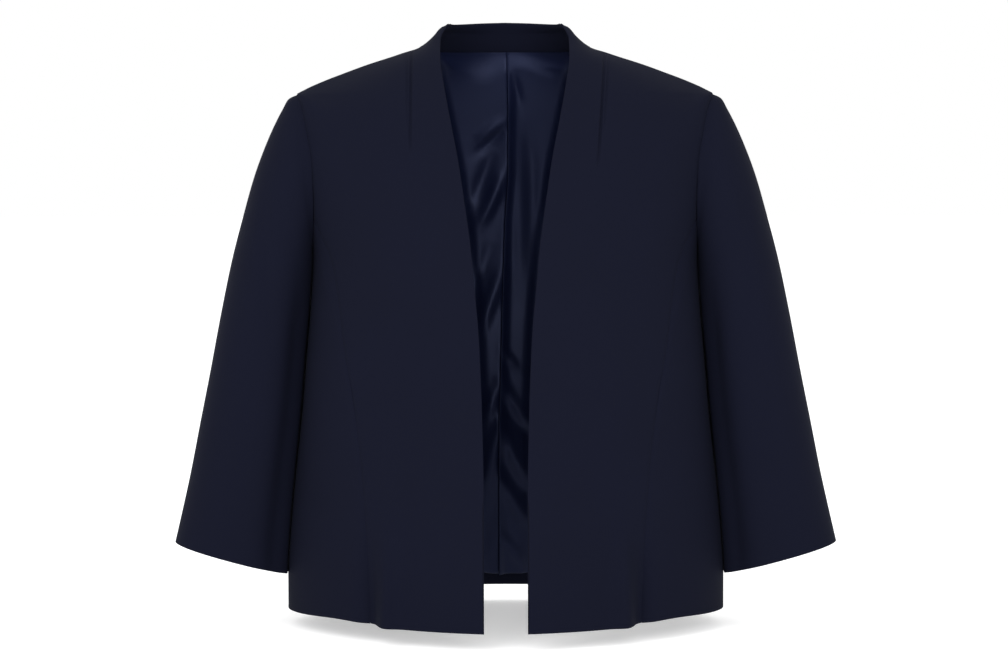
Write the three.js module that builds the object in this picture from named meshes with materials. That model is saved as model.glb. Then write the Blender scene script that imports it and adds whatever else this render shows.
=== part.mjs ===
// Open-front blazer with a grown-on stand, flared three-quarter sleeves and a satin back lining.
// Millimetres, +Z up, the front faces -Y and +X is the wearer's left.
// The origin lies midway between the neck points, in the upright plane of the shoulder and side seams.
import * as THREE from 'three';

// Cloth and seams
const SHELL = 2;
const SATIN = 1.2;
const SEAM = 0.3;
const PANEL_SEAM_GAP = 0.5;
const UNDER_SHELL = SHELL + SEAM;
const UNDER_TURNUP = UNDER_SHELL + SATIN + SEAM;

// Levels of the cut
const COLLAR_SIDE_Z = 28;
const COLLAR_RISE = 5;
const TURNUP_TOP_Z = -520;
const LINING_BOTTOM_Z = -543;
const HEM_Z = -555;

// Half widths at the neck point and the shoulder point
const NECK_POINT_X = 84.5;
const SHOULDER_X = 207;

// Armhole, a loop on the body from the shoulder point down to the underarm
const ARMHOLE_TOP_Z = -42;
const ARMHOLE_BOTTOM_Z = -205;
const ARMHOLE_STEPS = 12;
const PANEL_SEAM_STEP = 8;
const ARMHOLE_REACH = 0.3;

// Rows of facets from the armhole to the top of the turned-up hem
const LOWER_STEPS = 11;

// Sleeves
const SLEEVE_POWER = 2.2;
const SLEEVE_CLEARANCE = 1.2;
const SLEEVE_WRAP = 5;
const SLEEVE_SEAM = 0.4;

// Flare fold beside each panel seam, the hem's rise towards the side seams, and the lining's pleat
const FLARE = { top: -430, ridgeX: 113, valleyX: 128, reach: 8, height: 8 };
const HEM_RISE = { top: -430, x: 165, reach: 38, height: 3.4 };
const PLEAT = { height: 3, reach: 7, rows: 5 };

/** Rows of numbers as objects with named columns. */
function table(columns, rows) {
  return rows.map((row) => Object.fromEntries(columns.map((column, i) => [column, row[i]])));
}

// The body's level sections: half width at the side seam, depths of the front and the back, and how
// square each is, where a power of 2 is an ellipse
const BODY = table(
  ['z', 'width', 'front', 'back', 'frontPower', 'backPower'],
  [
    [33, 56.5, 6, 62, 2, 2],
    [28, 56.5, 12, 64, 2, 2],
    [24, 63.5, 22, 66, 2, 2],
    [16, 70.5, 33, 69, 2, 2],
    [8, 79.5, 41, 72, 2, 2],
    [4, 86.5, 45, 74, 2, 2],
    [0, 99.5, 48, 76, 2, 2],
    [-4, 111.5, 52, 78, 2, 2],
    [-12, 136.5, 58, 82, 2, 2],
    [-20, 158.5, 63, 85, 2, 2],
    [-28, 179.5, 68, 88, 2.1, 2.1],
    [-36, 197.5, 72, 91, 2.1, 2.1],
    [-42, 207, 75, 93, 2.2, 2.2],
    [-80, 209, 93, 104, 2.2, 2.2],
    [-110, 207.5, 102, 110, 2.2, 2.2],
    [-150, 200.5, 113, 115, 2.2, 2.2],
    [-180, 194.5, 120, 117, 2.2, 2.2],
    [-205, 191.5, 125, 118, 2.2, 2.2],
    [-250, 193.5, 131, 117, 2.2, 2.2],
    [-292, 197, 132, 114, 2.2, 2.2],
    [-354, 202.5, 130, 113, 2.1, 2.2],
    [-433, 211.5, 133, 120, 1.9, 2.1],
    [-480, 216, 138, 127, 1.8, 2],
    [-520, 218.5, 144, 136, 1.7, 2],
    [-555, 218.5, 149, 145, 1.65, 2],
  ],
);

// Half width of the front opening, from the collar's side down to the hem
const FRONT_EDGE = table(
  ['z', 'x'],
  [
    [28, 56.5],
    [24, 59],
    [12, 63.5],
    [-8, 63],
    [-28, 60],
    [-68, 52.5],
    [-108, 44.7],
    [-148, 38.6],
    [-188, 33],
    [-228, 29.3],
    [-268, 25.6],
    [-308, 23.6],
    [-348, 22.3],
    [-428, 20.9],
    [-555, 20.8],
  ],
);

// Seam between the centre front and the side front
const PANEL_SEAM = table(
  ['z', 'x'],
  [
    [-164, 187.9],
    [-178, 181],
    [-205, 169],
    [-240, 162],
    [-290, 155.5],
    [-330, 148.5],
    [-380, 141.5],
    [-430, 137],
    [-480, 134.8],
    [-555, 134.5],
  ],
);

// Half width of the body at the armhole seam
const ARMHOLE = table(
  ['z', 'x'],
  [
    [-42, 207],
    [-46, 203.5],
    [-60, 198.5],
    [-80, 194],
    [-110, 189],
    [-150, 187.5],
    [-180, 188.5],
    [-205, 191.5],
  ],
);

// Slanted sections of a sleeve from the armhole to the cuff: the outer point, the level of the inner
// point beside the body, half depths before and behind, the middle's depth, the armhole's share, and
// how far the front rises above the slant
const SLEEVE = table(
  ['outX', 'outZ', 'inZ', 'front', 'back', 'middle', 'share', 'rise'],
  [
    [207, -42, -205, 48, 54, 0, 1, 0],
    [214.5, -46, -207, 50, 56, 0, 0.8, 0],
    [221, -57, -211, 54, 59, 1, 0.5, 0],
    [231.5, -78, -218, 57, 62, 2, 0.25, 0],
    [247.5, -118, -232, 60, 65, 4, 0.08, 0],
    [260.5, -162, -252, 62, 66, 6, 0, 0],
    [272, -205, -280, 62, 66, 7, 0, 0],
    [283.5, -258, -318, 61, 64, 8, 0, 0],
    [294.5, -314, -362, 59, 61, 8, 0, 0],
    [305.5, -368, -408, 57, 58, 7, 0, 0],
    [315.5, -418, -450, 55, 55, 6, 0, 0],
    [324.5, -458, -488, 53, 53, 5, 0, 1.5],
    [331.5, -488, -520, 51, 51, 4, 0, 3],
  ],
);

// Columns of facets along the collar's side, the back neck seam and the shoulder seam
const COLLAR_COLUMNS = [56.5, 63.5, 70.5, 79.5];
const NECK_COLUMNS = [0, 7, 22, 42, 60, 73, 81.5];
const SHOULDER_COLUMNS = [84.5, 99.5, 122, 144, 164, 180, 192, 200, 205, 207];

/** Smooth value of a column between the rows of a table, without overshoot. */
function along(rows, key, z) {
  const last = rows.length - 1;
  if (z >= rows[0].z) return rows[0][key];
  if (z <= rows[last].z) return rows[last][key];
  const i = rows.findIndex((row) => row.z < z) - 1;
  const rise = (k) => (rows[k + 1][key] - rows[k][key]) / (rows[k + 1].z - rows[k].z);
  const tangent = (k) => {
    if (k === 0) return rise(0);
    if (k === last) return rise(last - 1);
    const before = rise(k - 1);
    const after = rise(k);
    return before * after <= 0 ? 0 : (2 * before * after) / (before + after);
  };
  const step = rows[i + 1].z - rows[i].z;
  const t = (z - rows[i].z) / step;
  const s = 1 - t;
  return (
    rows[i][key] * (1 + 2 * t) * s * s +
    rows[i + 1][key] * (1 + 2 * s) * t * t +
    step * (tangent(i) * t * s * s - tangent(i + 1) * s * t * t)
  );
}

const clamp = THREE.MathUtils.clamp;
const smooth = (value, from, to) => THREE.MathUtils.smoothstep(value, from, to);
const bump = (distance, reach) => Math.exp(-((distance / reach) ** 2));

/** How far a point lies outside the body's surface: 0 on it, below 0 inside. */
function outside(x, y, z) {
  const half = y < 0 ? 'front' : 'back';
  const power = along(BODY, `${half}Power`, z);
  const across = Math.abs(x) / along(BODY, 'width', z);
  const through = Math.abs(y) / along(BODY, half, z);
  return across ** power + through ** power - 1;
}

/** Outward normal of the body's surface. */
function bodyNormal(x, y, z) {
  const h = 0.05;
  return new THREE.Vector3(
    outside(x + h, y, z) - outside(x - h, y, z),
    outside(x, y + h, z) - outside(x, y - h, z),
    outside(x, y, z + h) - outside(x, y, z - h),
  ).normalize();
}

/** Depth of the body's surface in front of (facing -1) or behind (facing 1) the seams' plane. */
function bodyDepth(x, z, facing) {
  const half = facing < 0 ? 'front' : 'back';
  const power = along(BODY, `${half}Power`, z);
  const across = clamp(Math.abs(x) / along(BODY, 'width', z), 0, 1);
  const depth = along(BODY, half, z) * (1 - across ** power) ** (1 / power);
  return facing * Math.max(depth, SEAM / 2);
}

/** Half width of the body at a depth y and level z. */
function bodyWidth(y, z) {
  const half = y < 0 ? 'front' : 'back';
  const power = along(BODY, `${half}Power`, z);
  const through = clamp(Math.abs(y) / along(BODY, half, z), 0, 1);
  return along(BODY, 'width', z) * (1 - through ** power) ** (1 / power);
}

/** Level at which the collar's side and the shoulder seam reach a half width. */
function shoulderLevel(x) {
  let low = ARMHOLE_TOP_Z;
  let high = COLLAR_SIDE_Z;
  for (let i = 0; i < 40; i += 1) {
    const middle = (low + high) / 2;
    if (along(BODY, 'width', middle) > x) low = middle;
    else high = middle;
  }
  return (low + high) / 2;
}

/** A point of a panel: on the body, moved out by lift, and mirrored to the given side. */
function onBody(side, x, z, facing, lift) {
  const y = bodyDepth(x, z, facing);
  const normal = bodyNormal(x, y, z);
  const point = new THREE.Vector3(x, y, z).addScaledVector(normal, lift);
  const mirror = new THREE.Vector3(side, 1, 1);
  return { point: point.multiply(mirror), normal: normal.multiply(mirror) };
}

/** Level of the armhole seam at a step from the shoulder point. */
function armholeLevel(step) {
  const middle = (ARMHOLE_TOP_Z + ARMHOLE_BOTTOM_Z) / 2;
  const half = (ARMHOLE_TOP_Z - ARMHOLE_BOTTOM_Z) / 2;
  return middle + half * Math.cos((Math.PI * step) / ARMHOLE_STEPS);
}

/** Shares of the way from the armhole to the hem: even rows to the turned-up hem, the lining's end, the hem. */
function lowerShares() {
  const share = (z) => (z - ARMHOLE_BOTTOM_Z) / (HEM_Z - ARMHOLE_BOTTOM_Z);
  const even = Array.from({ length: LOWER_STEPS + 1 }, (_, i) => (share(TURNUP_TOP_Z) * i) / LOWER_STEPS);
  return [...even, share(LINING_BOTTOM_Z), 1];
}

/** Levels down a panel's outer edge: the armhole's first steps, then the rows to the hem. */
function edgeLevels(armholeSteps) {
  const upper = Array.from({ length: armholeSteps }, (_, i) => armholeLevel(i));
  const start = armholeLevel(armholeSteps);
  return [...upper, ...lowerShares().map((share) => THREE.MathUtils.lerp(start, HEM_Z, share))];
}

/** A level of the outer edge, carried over to a column that starts at another top. */
function spread(level, levels, top) {
  const last = levels[levels.length - 1];
  return last + ((level - last) * (top - last)) / (levels[0] - last);
}

/** Angle at which a half width lies round the body's section. */
function angleAt(x, z) {
  return Math.asin(clamp(x / along(BODY, 'width', z), 0, 1));
}

/** Half width at the panel seam, on the centre front's (-1) or the side front's (1) edge of its gap. */
function panelSeam(z, edge) {
  const width = along(BODY, 'width', z);
  const angle = angleAt(along(PANEL_SEAM, 'x', z), z);
  const speed = Math.hypot(width * Math.cos(angle), along(BODY, 'front', z) * Math.sin(angle));
  return width * Math.sin(angle + (edge * PANEL_SEAM_GAP) / 2 / speed);
}

/** Height of the flare fold beside a panel seam, which grows towards the hem. */
function flare(x, z) {
  const ridge = bump(x - FLARE.ridgeX, FLARE.reach);
  const valley = bump(x - FLARE.valleyX, FLARE.reach);
  return FLARE.height * smooth(-z, -FLARE.top, -HEM_Z) * (ridge - valley);
}

/** A front's level, raised where its hem curves up towards the side seam. */
function raised(x, z) {
  return z + HEM_RISE.height * smooth(-z, -HEM_RISE.top, -HEM_Z) * bump(x - HEM_RISE.x, HEM_RISE.reach);
}

/** Half width of a panel's outer edge. */
function outerEdge(z, facing) {
  if (z >= ARMHOLE_TOP_Z) return SHOULDER_X;
  if (facing < 0 && z <= armholeLevel(PANEL_SEAM_STEP)) return panelSeam(z, -1);
  if (z > ARMHOLE_BOTTOM_Z) return along(ARMHOLE, 'x', z);
  return along(BODY, 'width', z);
}

/** Two triangles for each cell between the rows of a grid of vertex numbers. */
function stitch(rows, faces, leansIn = () => false) {
  for (let r = 0; r + 1 < rows.length; r += 1) {
    for (let c = 0; c + 1 < rows[r].length; c += 1) {
      const [a, b, d, e] = [rows[r][c], rows[r + 1][c], rows[r + 1][c + 1], rows[r][c + 1]];
      if (leansIn(r, c)) faces.push(a, b, e, b, d, e);
      else faces.push(a, b, d, a, d, e);
    }
  }
}

/** Six times the volume inside a set of triangles, below 0 when they face inwards. */
function signedVolume(points, faces) {
  let sum = 0;
  for (let i = 0; i < faces.length; i += 3) {
    const [a, b, c] = [points[faces[i]], points[faces[i + 1]], points[faces[i + 2]]];
    sum += a.dot(new THREE.Vector3().crossVectors(b, c));
  }
  return sum;
}

/** A closed wall of cloth: the grid's points outside, and the same points moved in by its thickness. */
function wall(grid, thickness, closed) {
  const points = [];
  const number = (move) =>
    grid.map((row) => {
      const numbers = row.map(({ point, normal }) => {
        points.push(point.clone().addScaledVector(normal, -move));
        return points.length - 1;
      });
      return closed ? [...numbers, numbers[0]] : numbers;
    });
  const outer = number(0);
  const inner = number(thickness);
  const leansIn = (r, c) => {
    const next = grid[r][(c + 1) % grid[r].length];
    return Math.abs(next.point.x) < Math.abs(grid[r][c].point.x);
  };
  const inside = [];
  stitch(inner, inside, leansIn);
  const faces = inside.reverse();
  stitch(outer, faces, leansIn);
  const last = grid.length - 1;
  stitch([inner[0], outer[0]], faces);
  stitch([outer[last], inner[last]], faces);
  if (!closed) {
    const column = (numbers, c) => numbers.map((row) => row[c]);
    const end = grid[0].length - 1;
    stitch([column(outer, 0), column(inner, 0)], faces);
    stitch([column(inner, end), column(outer, end)], faces);
  }
  if (signedVolume(points, faces) < 0) faces.reverse();
  const geometry = new THREE.BufferGeometry().setFromPoints(points);
  geometry.setIndex(faces);
  geometry.computeVertexNormals();
  return geometry;
}

const shellCloth = () => new THREE.MeshStandardMaterial({ color: 0x1b1d29, roughness: 0.9, metalness: 0 });
const satin = () => new THREE.MeshStandardMaterial({ color: 0x141a33, roughness: 0.35, metalness: 0 });

const blazer = new THREE.Group();

/** Adds a wall of cloth to the blazer as a named mesh. */
function add(name, grid, thickness, material, closed = false) {
  const mesh = new THREE.Mesh(wall(grid, thickness, closed), material);
  mesh.name = name;
  blazer.add(mesh);
}

/** Centre front: from the collar's side and the shoulder seam to the hem, out to armhole and panel seam. */
function centreFront(side) {
  const levels = edgeLevels(PANEL_SEAM_STEP);
  const tops = [...COLLAR_COLUMNS, ...SHOULDER_COLUMNS];
  return levels.map((level) =>
    tops.map((top) => {
      const start = shoulderLevel(top);
      const z = spread(level, levels, start);
      const edge = along(FRONT_EDGE, 'x', start);
      const share = (top - edge) / (SHOULDER_X - edge);
      const x = THREE.MathUtils.lerp(along(FRONT_EDGE, 'x', z), outerEdge(z, -1), share);
      return onBody(side, x, raised(x, z), -1, flare(x, z));
    }),
  );
}

/** Side front: from the lower armhole to the hem, between the panel seam and the side seam. */
function sideFront(side) {
  const columns = ARMHOLE_STEPS - PANEL_SEAM_STEP;
  return lowerShares().map((share) =>
    Array.from({ length: columns + 1 }, (_, column) => {
      const top = armholeLevel(PANEL_SEAM_STEP + column);
      const z = THREE.MathUtils.lerp(top, HEM_Z, share);
      const seam = angleAt(along(PANEL_SEAM, 'x', z), z);
      const even = THREE.MathUtils.lerp(seam, Math.PI / 2, column / columns);
      const armhole = angleAt(along(ARMHOLE, 'x', top), top);
      const angle = THREE.MathUtils.lerp(armhole, even, smooth(share, 0, ARMHOLE_REACH));
      const x = along(BODY, 'width', z) * Math.sin(column ? angle : seam);
      const edge = column ? x : panelSeam(z, 1);
      return onBody(side, edge, raised(edge, z), -1, flare(edge, z));
    }),
  );
}

/** Both halves of a row, from the points of the right-hand half that is given from the centre out. */
function bothHalves(half) {
  const mirror = new THREE.Vector3(-1, 1, 1);
  const other = half.slice(1).reverse();
  const flipped = other.map(({ point, normal }) => ({
    point: point.clone().multiply(mirror),
    normal: normal.clone().multiply(mirror),
  }));
  return [...flipped, ...half];
}

/** Half of the back from the neck and shoulder seams to the hem, moved in by a depth for each row. */
function halfBack(depthOf = () => 0) {
  const levels = edgeLevels(ARMHOLE_STEPS);
  const neckSeam = shoulderLevel(NECK_POINT_X) - SEAM / 2;
  return levels.map((level, row) =>
    [...NECK_COLUMNS, ...SHOULDER_COLUMNS].map((column) => {
      const z = spread(level, levels, Math.min(shoulderLevel(column), neckSeam));
      const x = (column / SHOULDER_X) * outerEdge(z, 1);
      return onBody(1, x, z, 1, -depthOf(row, x));
    }),
  );
}

/** Band round the back of the neck from one collar side to the other, moved in by a depth. */
function neckBand(depth) {
  const bottom = shoulderLevel(NECK_POINT_X) + SEAM / 2;
  const rows = [...COLLAR_COLUMNS.map(shoulderLevel), bottom];
  return rows.map((level) => {
    const half = [...NECK_COLUMNS, NECK_POINT_X].map((column) => {
      const angle = Math.asin(column / NECK_POINT_X);
      const top = COLLAR_SIDE_Z + COLLAR_RISE * Math.cos(angle) ** 2;
      const z = THREE.MathUtils.mapLinear(level, bottom, COLLAR_SIDE_Z, bottom, top);
      return onBody(1, along(BODY, 'width', z) * Math.sin(angle), z, 1, -depth);
    });
    return bothHalves(half);
  });
}

/** Half of the back lining. The wearer's left half is folded into the pleat at the centre. */
function backLining(side) {
  const turnupRow = ARMHOLE_STEPS + LOWER_STEPS;
  const depthOf = (row, x) => {
    const pleat = side > 0 ? PLEAT.height * bump(x, PLEAT.reach) * smooth(row, 0, PLEAT.rows) : 0;
    return (row < turnupRow ? UNDER_SHELL : UNDER_TURNUP) + pleat;
  };
  const mirror = new THREE.Vector3(side, 1, 1);
  return halfBack(depthOf)
    .slice(0, turnupRow + 2)
    .map((row) =>
      row.map(({ point, normal }) => {
        point.x = Math.max(point.x, SEAM / 2);
        return { point: point.multiply(mirror), normal: normal.multiply(mirror) };
      }),
    );
}

/** Turned-up hem inside the back, partly under the lining. */
function hemTurnup() {
  const rows = halfBack(() => UNDER_SHELL).slice(ARMHOLE_STEPS + LOWER_STEPS);
  return rows.map(bothHalves);
}

/** Points round the armhole: down the front, then up the back. */
function armholeLoop() {
  const steps = Array.from({ length: 2 * ARMHOLE_STEPS }, (_, i) => i);
  return steps.map((step) => {
    const facing = step <= ARMHOLE_STEPS ? -1 : 1;
    const z = armholeLevel(step);
    const x = along(ARMHOLE, 'x', z);
    const atSeam = step % ARMHOLE_STEPS === 0;
    return new THREE.Vector3(x + SLEEVE_SEAM, atSeam ? 0 : bodyDepth(x, z, facing), z);
  });
}

/** A point of a sleeve's plain section. The angle runs from the outer point round the front. */
function sleeveSection(row, angle) {
  const inX = along(BODY, 'width', row.inZ) + SLEEVE_CLEARANCE - SLEEVE_WRAP * (1 - row.share);
  const rounded = (value) => Math.sign(value) * Math.abs(value) ** (2 / SLEEVE_POWER);
  const out = (1 + rounded(Math.cos(angle))) / 2;
  const sweep = rounded(Math.sin(angle));
  return new THREE.Vector3(
    THREE.MathUtils.lerp(inX, row.outX, out),
    row.middle - sweep * (sweep > 0 ? row.front : row.back),
    THREE.MathUtils.lerp(row.inZ, row.outZ, out) + row.rise * Math.max(sweep, 0),
  );
}

/** Sleeve: a tube from the armhole to the cuff that stays just clear of the body. */
function sleeve(side) {
  const loop = armholeLoop();
  const grid = SLEEVE.map((row) =>
    loop.map((armhole, step) => {
      const angle = (Math.PI * step) / ARMHOLE_STEPS;
      const point = sleeveSection(row, angle);
      const pull = armhole.clone().sub(sleeveSection(SLEEVE[0], angle));
      point.addScaledVector(pull, row.share);
      const gap = THREE.MathUtils.lerp(SLEEVE_CLEARANCE, SLEEVE_SEAM, row.share);
      if (row.share < 1) point.x = Math.max(point.x, bodyWidth(point.y, point.z) + gap);
      return point;
    }),
  );
  return grid.map((row, r) =>
    row.map((point, c) => {
      const around = row[(c + 1) % row.length].clone().sub(row[(c + row.length - 1) % row.length]);
      const down = grid[Math.min(r + 1, grid.length - 1)][c].clone().sub(grid[Math.max(r - 1, 0)][c]);
      const normal = around.cross(down).normalize();
      const mirror = new THREE.Vector3(side, 1, 1);
      return { point: point.clone().multiply(mirror), normal: normal.multiply(mirror) };
    }),
  );
}

for (const [word, side] of [['right', -1], ['left', 1]]) {
  add(`front_${word}`, centreFront(side), SHELL, shellCloth());
  add(`side_front_${word}`, sideFront(side), SHELL, shellCloth());
  add(`lining_${word}`, backLining(side), SATIN, satin());
  add(`sleeve_${word}`, sleeve(side), SHELL, shellCloth(), true);
}
add('back', halfBack().map(bothHalves), SHELL, shellCloth());
add('back_collar', neckBand(0), SHELL, shellCloth());
add('neck_facing', neckBand(UNDER_SHELL), SHELL, shellCloth());
add('hem_turnup', hemTurnup(), SATIN, shellCloth());

export default blazer;
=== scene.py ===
"""Open-front blazer with a grown-on stand, flared three-quarter sleeves and a satin back lining.

The jacket is filled out as worn. Each cut piece of cloth is a thin wall on the body's form, with its
folds and creases laid on one by one. Sizes are in millimetres until a mesh is made, which is in metres.
+Z is up, the front faces -Y, and +X is the wearer's left.
"""

import logging
import math
from dataclasses import dataclass, field
from enum import Enum

import bpy
import numpy as np
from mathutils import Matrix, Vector


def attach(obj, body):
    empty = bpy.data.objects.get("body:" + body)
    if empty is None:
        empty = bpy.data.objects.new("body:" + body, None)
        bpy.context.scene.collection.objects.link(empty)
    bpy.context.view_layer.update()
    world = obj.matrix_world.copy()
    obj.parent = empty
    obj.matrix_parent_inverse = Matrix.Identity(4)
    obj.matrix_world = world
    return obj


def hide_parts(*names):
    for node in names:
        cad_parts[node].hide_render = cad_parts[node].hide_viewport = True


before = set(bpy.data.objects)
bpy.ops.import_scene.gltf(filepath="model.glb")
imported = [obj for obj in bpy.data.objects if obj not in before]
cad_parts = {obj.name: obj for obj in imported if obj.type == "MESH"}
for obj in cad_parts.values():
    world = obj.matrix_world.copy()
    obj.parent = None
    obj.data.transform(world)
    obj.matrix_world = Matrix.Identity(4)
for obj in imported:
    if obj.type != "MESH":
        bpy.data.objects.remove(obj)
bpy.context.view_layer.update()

LOG = logging.getLogger("blazer")
MM = 0.001
ROOT = "root"

# Thickness of the cloths, the gap between neighbours, and the depth of what lies under them
SHELL = 1.6
SATIN = 1.0
SEAM = 0.3
UNDER_SHELL = SHELL + SEAM
UNDER_TURNUP = UNDER_SHELL + SATIN + SEAM

# Levels of the cut
COLLAR_SIDE_Z = 28.0
COLLAR_RISE = 5.0
ARMHOLE_TOP_Z = -42.0
ARMHOLE_BOTTOM_Z = -205.0
FLARE_TOP_Z = -430.0
TURNUP_TOP_Z = -520.0
LINING_BOTTOM_Z = -543.0
HEM_Z = -555.0

# Half widths at the collar's side, the neck point and the shoulder point
COLLAR_SIDE_X = 56.5
NECK_POINT_X = 84.5
SHOULDER_X = 207.0

# How far round the armhole the panel seam leaves it, and the share of its length over which the side
# front evens out below
PANEL_SEAM_TURN = 2 / 3
ARMHOLE_REACH = 0.3

# How square the sleeve's sections are, how far it stays from the body, how far it wraps round the body's
# side below the armhole, and where it meets the seam
SLEEVE_POWER = 2.2
SLEEVE_CLEARANCE = 1.2
SLEEVE_WRAP = 5.0
SLEEVE_SEAM = -0.5

# Share of a seam's dip that is left over the shoulder, and the levels between which the rest comes in
FLAT_SHARE = 0.35
FLAT_ABOVE_Z = -60.0
FULL_BELOW_Z = -150.0

# How much closer a panel's rows lie at the shoulder point, and how many halvings find a level
TOP_SPACING = 1.2
HALVINGS = 40


class Side(Enum):
    """The wearer's two sides, as the sign of X."""

    RIGHT = -1
    LEFT = 1

    @property
    def word(self) -> str:
        """The side's name in a piece's name."""
        return self.name.lower()


class Facing(Enum):
    """Which half of the body a panel covers, as the sign of Y."""

    FRONT = -1
    BACK = 1


class Table:
    """Rows of sizes with named columns, read smoothly between rows without overshoot."""

    def __init__(self, key: str, columns: str, rows: list[tuple[float, ...]]) -> None:
        """Keeps the rows in rising order of the key column.

        Args:
            key: The column that the table is read by.
            columns: All the columns' names, parted by spaces.
            rows: One tuple of sizes for each row.
        """
        names = columns.split()
        values = np.array(sorted(rows, key=lambda row: row[names.index(key)]), float)
        self.keys = values[:, names.index(key)]
        self.values = {name: values[:, i] for i, name in enumerate(names)}
        self.slopes = {name: self._slopes(column) for name, column in self.values.items()}

    def _slopes(self, column: np.ndarray) -> np.ndarray:
        """Slope at each row: the harmonic mean of its neighbours' rises, or level at a turn."""
        rise = np.diff(column) / np.diff(self.keys)
        before, after = rise[:-1], rise[1:]
        same = before * after > 0
        total = np.where(same, before + after, 1)
        inner = np.where(same, 2 * before * after / total, 0)
        return np.concatenate([rise[:1], inner, rise[-1:]])

    def at(self, name: str, key: np.ndarray) -> np.ndarray:
        """Value of a column at the given keys.

        Args:
            name: The column to read.
            key: Places along the key column, of any shape.

        Returns:
            The column's value at each place, held level past both ends.
        """
        key = np.clip(np.asarray(key, float), self.keys[0], self.keys[-1])
        i = np.clip(np.searchsorted(self.keys, key, side="right") - 1, 0, len(self.keys) - 2)
        step = self.keys[i + 1] - self.keys[i]
        t = (key - self.keys[i]) / step
        s = 1 - t
        column, slope = self.values[name], self.slopes[name]
        ends = column[i] * (1 + 2 * t) * s * s + column[i + 1] * (1 + 2 * s) * t * t
        return ends + step * (slope[i] * t * s * s - slope[i + 1] * s * t * t)


# The body's level sections: half width at the side seam, depths of the front and the back, and how
# square each is, where a power of 2 is an ellipse
BODY = Table("z", "z width front back front_power back_power", [
    (33, 56.5, 6, 62, 2, 2),
    (28, 56.5, 12, 64, 2, 2),
    (24, 63.5, 22, 66, 2, 2),
    (16, 70.5, 33, 69, 2, 2),
    (8, 79.5, 41, 72, 2, 2),
    (4, 86.5, 45, 74, 2, 2),
    (0, 99.5, 48, 76, 2, 2),
    (-4, 111.5, 52, 78, 2, 2),
    (-12, 136.5, 58, 82, 2, 2),
    (-20, 158.5, 63, 85, 2, 2),
    (-28, 179.5, 68, 88, 2.1, 2.1),
    (-36, 197.5, 72, 91, 2.1, 2.1),
    (-42, 207, 75, 93, 2.2, 2.2),
    (-80, 209, 93, 104, 2.2, 2.2),
    (-110, 207.5, 102, 110, 2.2, 2.2),
    (-150, 200.5, 113, 115, 2.2, 2.2),
    (-180, 194.5, 120, 117, 2.2, 2.2),
    (-205, 191.5, 125, 118, 2.2, 2.2),
    (-250, 193.5, 131, 117, 2.2, 2.2),
    (-292, 197, 132, 114, 2.2, 2.2),
    (-354, 202.5, 130, 113, 2.1, 2.2),
    (-433, 211.5, 133, 120, 1.9, 2.1),
    (-480, 216, 138, 127, 1.8, 2),
    (-520, 218.5, 144, 136, 1.7, 2),
    (-555, 218.5, 149, 145, 1.65, 2),
])

# Half width of the front opening, from the collar's side down to the hem
FRONT_EDGE = Table("z", "z x", [
    (28, 56.5), (24, 59), (12, 63.5), (-8, 63), (-28, 60), (-68, 52.5), (-108, 44.7), (-148, 38.6),
    (-188, 33), (-228, 29.3), (-268, 25.6), (-308, 23.6), (-348, 22.3), (-428, 20.9), (-555, 20.8),
])

# Seam between the centre front and the side front
PANEL_SEAM = Table("z", "z x", [
    (-164, 187.9), (-178, 181), (-205, 169), (-240, 162), (-290, 155.5), (-330, 148.5),
    (-380, 141.5), (-430, 137), (-480, 134.8), (-555, 134.5),
])

# Half width of the body at the armhole seam
ARMHOLE = Table("z", "z x", [
    (-42, 207), (-46, 203.5), (-60, 198.5), (-80, 194), (-110, 189), (-150, 187.5), (-180, 188.5),
    (-205, 191.5),
])

# Slanted sections of a sleeve from the armhole to the cuff: the outer point, the level of the inner
# point beside the body, half depths before and behind, the middle's depth, the armhole's share, and
# how far the front rises above the slant
SLEEVE = Table("row", "row out_x out_z in_z front back middle share rise", [
    (0, 207, -42, -205, 48, 54, 0, 1, 0),
    (1, 214.5, -46, -207, 50, 56, 0, 0.8, 0),
    (2, 221, -57, -211, 54, 59, 1, 0.5, 0),
    (3, 231.5, -78, -218, 57, 62, 2, 0.25, 0),
    (4, 247.5, -118, -232, 60, 65, 4, 0.08, 0),
    (5, 260.5, -162, -252, 62, 66, 6, 0, 0),
    (6, 272, -205, -280, 62, 66, 7, 0, 0),
    (7, 283.5, -258, -318, 61, 64, 8, 0, 0),
    (8, 294.5, -314, -362, 59, 61, 8, 0, 0),
    (9, 305.5, -368, -408, 57, 58, 7, 0, 0),
    (10, 315.5, -418, -450, 55, 55, 6, 0, 0),
    (11, 324.5, -458, -488, 53, 53, 5, 0, 1.5),
    (12, 331.5, -488, -520, 51, 51, 4, 0, 3),
])

# Centre-back pleat of the lining, as far as it wanders from the middle
PLEAT_LINE = Table("z", "z x", [
    (4, 2), (-50, 3), (-110, 3), (-170, -0.5), (-245, -3), (-350, -6), (-380, -7), (-543, -7.5),
])

# Half width at which the lining turns back behind the fronts
LINING_EDGE = Table("z", "z x", [
    (4, 69), (-20, 66), (-60, 59), (-110, 49), (-190, 36), (-280, 27.5), (-400, 24), (-543, 23),
])


def smooth(value: np.ndarray, start: float, end: float) -> np.ndarray:
    """Smooth step from 0 at start to 1 at end."""
    t = np.clip((np.asarray(value, float) - start) / (end - start), 0, 1)
    return t * t * (3 - 2 * t)


def bump(distance: np.ndarray, reach: float) -> np.ndarray:
    """Bell curve of height 1 that fades over reach."""
    return np.exp(-((np.asarray(distance, float) / reach) ** 2))


def unit(vectors: np.ndarray) -> np.ndarray:
    """Vectors of length 1 along the given ones."""
    return vectors / np.maximum(np.linalg.norm(vectors, axis=-1, keepdims=True), 1e-12)


@dataclass(frozen=True)
class Swell:
    """A soft ridge, or a valley where its height is below 0, that runs straight along a panel."""

    middle: float
    reach: float
    height: float

    def at(self, place: np.ndarray) -> np.ndarray:
        """Lift at places across the panel."""
        return self.height * bump(place - self.middle, self.reach)


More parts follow.
